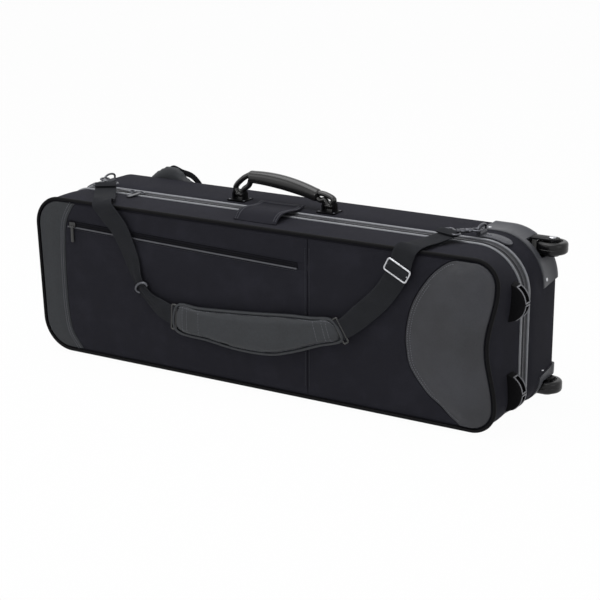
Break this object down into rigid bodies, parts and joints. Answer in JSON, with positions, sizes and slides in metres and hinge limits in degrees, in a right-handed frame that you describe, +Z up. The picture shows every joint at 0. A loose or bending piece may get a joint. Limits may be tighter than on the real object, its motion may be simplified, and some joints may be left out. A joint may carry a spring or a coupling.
{
  "type": "trombone case",
  "caption": "Soft-covered trombone case on wheels with a hinged zip lid, carrying handle, shoulder strap with pad, backpack straps and fitted foam inside.",
  "frame": {"origin": "middle of the footprint on the ground, under the case standing on its long narrow side", "axes": "+X along the case to the wheel end, +Y from the lid to the back, +Z up to the carrying handle"},
  "size_m": [0.934, 0.2624, 0.3469],
  "materials": {
    "nylon": "woven, matte",
    "leatherette": "grained, satin",
    "webbing": "ribbed weave",
    "foam_board": "matte",
    "plush": "short pile",
    "piping_grey": "satin",
    "piping_black": "satin",
    "zip_tape": "woven",
    "plastic": "moulded, satin",
    "gloss_black": "gloss",
    "rubber": "matte",
    "metal": "polished nickel"
  },
  "bodies": {
    "base": {"base_cover": "nylon", "base_shell": "foam_board", "base_lining": "plush", "base_zip_piping": "piping_grey", "base_zip_tape": "zip_tape", "hinge_strip": "nylon", "base_foot_left": "rubber", "base_foot_right": "rubber", "corner_guard_top": "plastic", "corner_guard_bottom": "plastic", "wheel_fork_top": "plastic", "wheel_fork_bottom": "plastic", "wheel_axle_top": "metal", "wheel_axle_bottom": "metal", "handle_mount_left": "plastic", "handle_mount_right": "plastic", "dring_tab_left": "leatherette", "dring_tab_right": "leatherette", "dring_left": "metal", "dring_right": "metal", "snap_hook_left": "metal", "snap_hook_right": "metal", "strap_web_left": "webbing", "strap_web_right": "webbing", "strap_loop": "gloss_black", "strap_slider": "metal", "shoulder_pad": "leatherette", "backpack_pad_upper": "leatherette", "backpack_pad_lower": "leatherette", "backpack_web_upper": "webbing", "backpack_web_lower": "webbing", "bell_cradle": "foam_board", "tube_rest": "foam_board", "accessory_box": "foam_board"},
    "lid": {"lid_cover": "nylon", "lid_shell": "foam_board", "lid_lining": "plush", "lid_front_piping": "piping_black", "lid_zip_piping": "piping_grey", "lid_zip_tape": "zip_tape", "left_crescent": "leatherette", "bell_patch": "leatherette", "pocket_panel": "nylon", "pocket_zip_tape": "zip_tape", "zip_flap": "nylon", "end_skid_upper": "rubber", "end_skid_lower": "rubber", "lid_foot_left": "rubber", "lid_foot_right": "rubber"},
    "wheel_top": {"wheel_tyre_top": "rubber", "wheel_hub_top": "plastic"},
    "wheel_bottom": {"wheel_tyre_bottom": "rubber", "wheel_hub_bottom": "plastic"},
    "handle": {"handle_grip": "gloss_black", "handle_loop_left": "gloss_black", "handle_loop_right": "gloss_black"},
    "pocket_runner": {"pocket_slider": "metal"},
    "pocket_tag": {"pocket_pull": "metal"},
    "zip_runner_left": {"main_slider_left": "metal"},
    "zip_runner_right": {"main_slider_right": "metal"}
  },
  "joints": [
    {"name": "lid_hinge", "type": "hinge", "parent": "base", "child": "lid", "pos_m": [0, -0.0064, 0.009], "axis": [1, 0, 0], "range_deg": [0, 95], "deforming": ["hinge_strip", "strap_web_left", "strap_web_right", "strap_loop", "strap_slider", "shoulder_pad"]},
    {"name": "handle_swing", "type": "hinge", "parent": "base", "child": "handle", "pos_m": [-0.0325, 0.03585, 0.3015], "axis": [1, 0, 0], "range_deg": [-65, 65]},
    {"name": "wheel_top_spin", "type": "hinge", "parent": "base", "child": "wheel_top", "pos_m": [0.441, 0.09785, 0.267], "axis": [0, 0, 1], "continuous": true},
    {"name": "wheel_bottom_spin", "type": "hinge", "parent": "base", "child": "wheel_bottom", "pos_m": [0.441, 0.09785, 0.03], "axis": [0, 0, 1], "continuous": true},
    {"name": "pocket_zip_slide", "type": "slide", "parent": "lid", "child": "pocket_runner", "axis": [0.9997, 0, -0.0234], "range_m": [0, 0.45]},
    {"name": "pocket_pull_swing", "type": "hinge", "parent": "pocket_runner", "child": "pocket_tag", "pos_m": [-0.3823, -0.11445, 0.24145], "axis": [-1, 0, 0], "range_deg": [0, 150]},
    {"name": "main_zip_slide_left", "type": "slide", "parent": "base", "child": "zip_runner_left", "axis": [-1, 0, 0], "range_m": [0, 0.08]},
    {"name": "main_zip_slide_right", "type": "slide", "parent": "base", "child": "zip_runner_right", "axis": [1, 0, 0], "range_m": [0, 0.158]}
  ]
}
